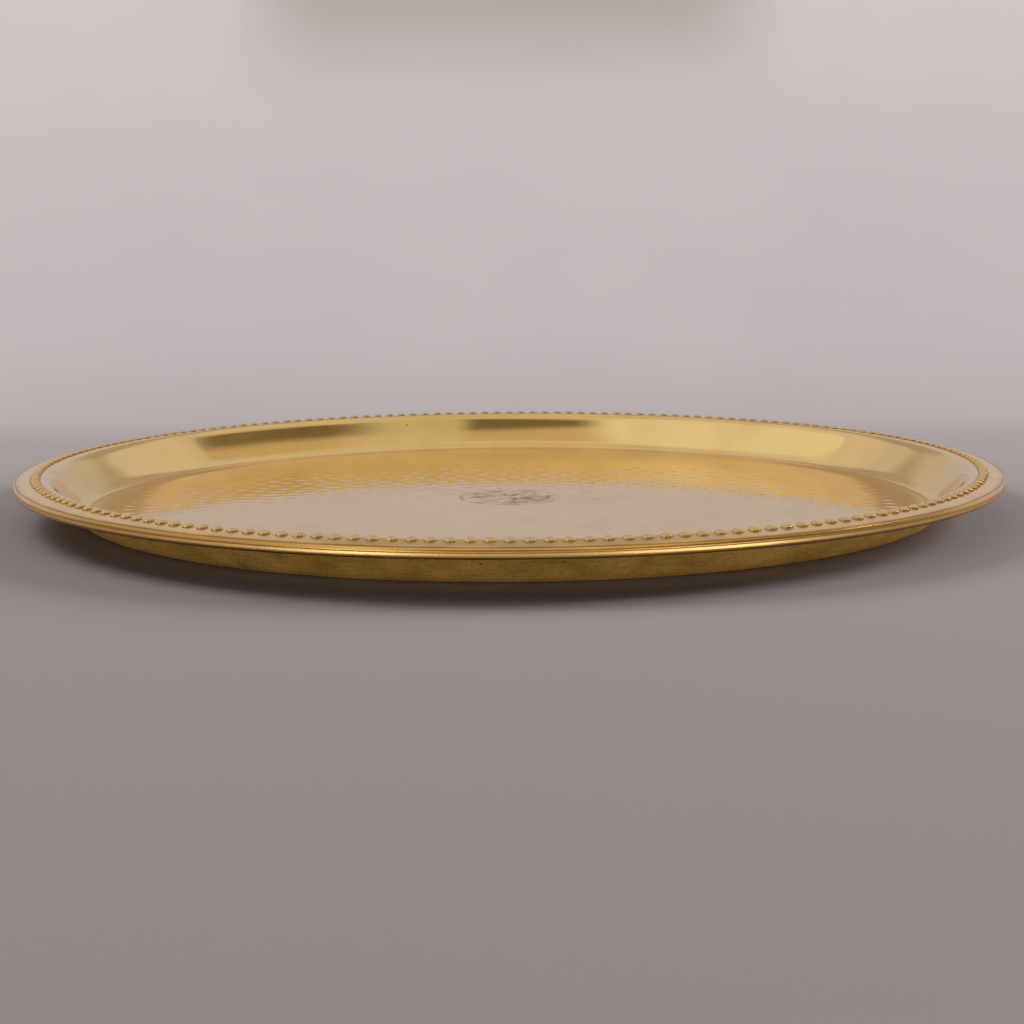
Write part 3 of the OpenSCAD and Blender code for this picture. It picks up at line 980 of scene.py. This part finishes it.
def room_light(room, seen_colour):
    """The world: brass mirrors the room, matt surfaces get a soft fill, and the camera sees one colour.

    The fill comes from the sides and the back.
    """
    world = bpy.data.worlds.new("Room")
    world.use_nodes = True
    tree = world.node_tree
    tree.nodes.clear()
    towards = add(tree, "ShaderNodeTexCoord", output="Generated")
    mirrored = mirrored_room(tree, towards, room)
    forward = add(tree, "ShaderNodeSeparateXYZ", {0: towards}, "Y")
    away = add(tree, RANGE, {0: forward, 1: -0.25, 2: 0.35, 3: 0.0, 4: 1.0}, **SOFT)
    fill = add(tree, MIX, {0: away, 6: paint(room.fill_front), 7: paint(room.fill_back)}, **BLEND)
    rays = add(tree, "ShaderNodeLightPath").node.outputs
    lit = add(tree, MIX, {0: rays["Is Diffuse Ray"], 6: mirrored, 7: fill}, **BLEND)
    tint = add(tree, MIX, {0: rays["Is Camera Ray"], 6: lit, 7: paint(seen_colour)}, **BLEND)
    glow = add(tree, "ShaderNodeBackground", {"Color": tint})
    add(tree, "ShaderNodeOutputWorld", {"Surface": glow})
    return world


def front_camera(studio):
    """The camera at its elevation and distance in front of the plate, turned to its aim and then rolled."""
    lens = bpy.data.cameras.new("camera")
    lens.lens = studio.lens
    lens.sensor_width = studio.sensor
    camera = bpy.data.objects.new("camera", lens)
    place = Vector((0, -math.cos(studio.elevation), math.sin(studio.elevation))) * studio.distance
    facing = (Vector(studio.aim) - place).to_track_quat("-Z", "Y").to_matrix().to_4x4()
    camera.matrix_world = Matrix.Translation(place) @ facing @ Matrix.Rotation(studio.roll, 4, "Z")
    bpy.context.scene.collection.objects.link(camera)
    return camera


class THALI_OT_stage(bpy.types.Operator):
    """Makes the stage: floor and backdrop in one curved sheet, the lamps, the room and the camera"""

    bl_idname = "thali.stage"
    bl_label = "Stage"

    def execute(self, context):
        thali = context.scene.thali
        paper = material("Matt stage board", matt_board, thali.colours, metallic=0.0, one_sided=True)
        sheet = stage_sheet(thali.studio)
        quads = grid_faces(*sheet.shape[:2])
        board = mesh_object("stage_board", sheet.reshape(-1, 3), quads, materials=[paper])
        board.visible_shadow = False
        for lamp in LAMPS:
            softbox(*lamp)
        context.scene.world = room_light(thali.room, thali.colours.backdrop_top)
        context.scene.camera = front_camera(thali.studio)
        context.scene.view_settings.view_transform = "Standard"
        return {"FINISHED"}


# Add-on

class ThaliSettings(bpy.types.PropertyGroup):
    """All the settings of the plate and its stage."""

    sizes: bpy.props.PointerProperty(type=ThaliSizes, name="Sizes", description="Sizes of the plate")
    hammering: bpy.props.PointerProperty(type=ThaliHammering, name="Hammering", description="Floor marks")
    colours: bpy.props.PointerProperty(type=ThaliColours, name="Colours", description="Finishes and stage")
    room: bpy.props.PointerProperty(type=ThaliRoom, name="Room", description="Light of the room")
    studio: bpy.props.PointerProperty(type=ThaliStudio, name="Studio", description="Camera and board")


class THALI_PT_panel(bpy.types.Panel):
    """Lists the pieces and their settings."""

    bl_idname = "THALI_PT_panel"
    bl_label = "Thali plate"
    bl_space_type = "VIEW_3D"
    bl_region_type = "UI"
    bl_category = "Thali"

    def draw(self, context):
        for operator in OPERATORS:
            self.layout.operator(operator.bl_idname)
        for group in ThaliSettings.__annotations__:
            settings = getattr(context.scene.thali, group)
            box = self.layout.box()
            box.label(text=group.capitalize())
            for key in settings.__annotations__:
                box.prop(settings, key)


GROUPS = (ThaliSizes, ThaliHammering, ThaliColours, ThaliRoom, ThaliStudio, ThaliSettings)
OPERATORS = (THALI_OT_dish, THALI_OT_beads, THALI_OT_wire, THALI_OT_stage)
CLASSES = (*GROUPS, *OPERATORS, THALI_PT_panel)


def register():
    for made in CLASSES:
        bpy.utils.register_class(made)
    bpy.types.Scene.thali = bpy.props.PointerProperty(type=ThaliSettings)


def unregister():
    del bpy.types.Scene.thali
    for made in reversed(CLASSES):
        bpy.utils.unregister_class(made)


def main():
    register()
    bpy.ops.thali.dish()
    bpy.ops.thali.beads()
    bpy.ops.thali.wire()
    bpy.ops.thali.stage()


if __name__ == "__main__":
    main()
